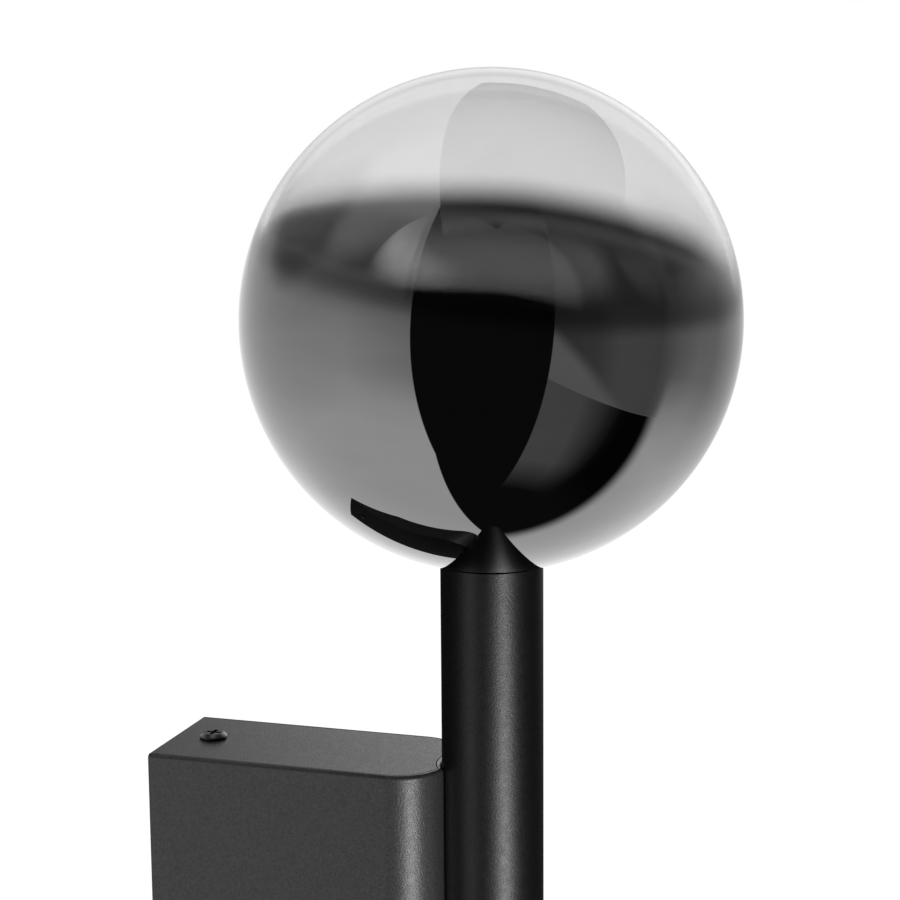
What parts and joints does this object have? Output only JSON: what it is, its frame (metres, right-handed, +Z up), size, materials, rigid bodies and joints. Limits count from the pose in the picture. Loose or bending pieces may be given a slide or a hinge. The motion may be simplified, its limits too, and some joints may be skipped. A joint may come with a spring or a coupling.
{
  "type": "globe wall sconce",
  "caption": "Wall light with a part-mirrored glass globe resting in the mouth of an upright tube, held off the wall by a narrow sheet-metal housing with rounded front corners.",
  "frame": {"origin": "middle between the two wall screws, on the wall's surface", "axes": "+Z up along the tube, +Y into the wall, +X along the wall"},
  "size_m": [0.153, 0.185, 0.4317],
  "materials": {
    "zinc_steel": "zinc plated",
    "black_rubber": "matt",
    "brass": "bright",
    "ivory_plastic": "moulded",
    "charcoal_powder": "fine textured powder coat",
    "black_screw": "blackened",
    "white_plastic": "moulded",
    "lead_plastic": "smooth",
    "plain_aluminium": "machined",
    "black_powder": "satin, fine grained",
    "pad_rubber": "matt",
    "phosphor": "satin",
    "bright_metal": "bright",
    "black_aluminium": "anodised",
    "lens_plastic": "frosted",
    "black_cable": "smooth",
    "mirrored_glass": "clear glass with a graded smoke mirror coating"
  },
  "bodies": {
    "base": {"wall_bracket": "zinc_steel", "cable_bush": "black_rubber", "earth_screw": "brass", "earth_washer": "zinc_steel", "terminal_block": "ivory_plastic", "terminal_screws": "brass", "terminal_fixing_screw": "zinc_steel", "housing_wrap": "charcoal_powder", "top_plate": "charcoal_powder", "bottom_plate": "charcoal_powder", "cover_screws": "black_screw", "driver_case": "white_plastic", "driver_lid": "white_plastic", "driver_screws": "zinc_steel", "mains_leads": "lead_plastic", "backing_pad": "zinc_steel", "nipple_washer": "zinc_steel", "nipple_nut": "brass", "hollow_nipple": "brass", "tube_block": "plain_aluminium", "block_screws": "zinc_steel", "tube": "black_powder", "bottom_cap": "black_powder", "set_screws": "black_screw", "heat_sink": "plain_aluminium", "thermal_pad": "pad_rubber", "led_board": "white_plastic", "led_chip": "phosphor", "reflector": "bright_metal", "seat_cup": "black_aluminium", "cup_screws": "zinc_steel", "lens": "lens_plastic", "lens_clip": "zinc_steel", "lamp_cable": "black_cable"},
    "seat": {"seat_ring": "black_rubber"},
    "globe": {"globe": "mirrored_glass"}
  },
  "joints": [
    {"name": "seat_swivel", "type": "hinge", "parent": "base", "child": "seat", "pos_m": [0, -0.1085, 0.108], "axis": [0, 0, 1], "continuous": true},
    {"name": "globe_tip", "type": "hinge", "parent": "seat", "child": "globe", "pos_m": [0, -0.1085, 0.18719], "axis": [1, 0, 0], "continuous": true}
  ]
}
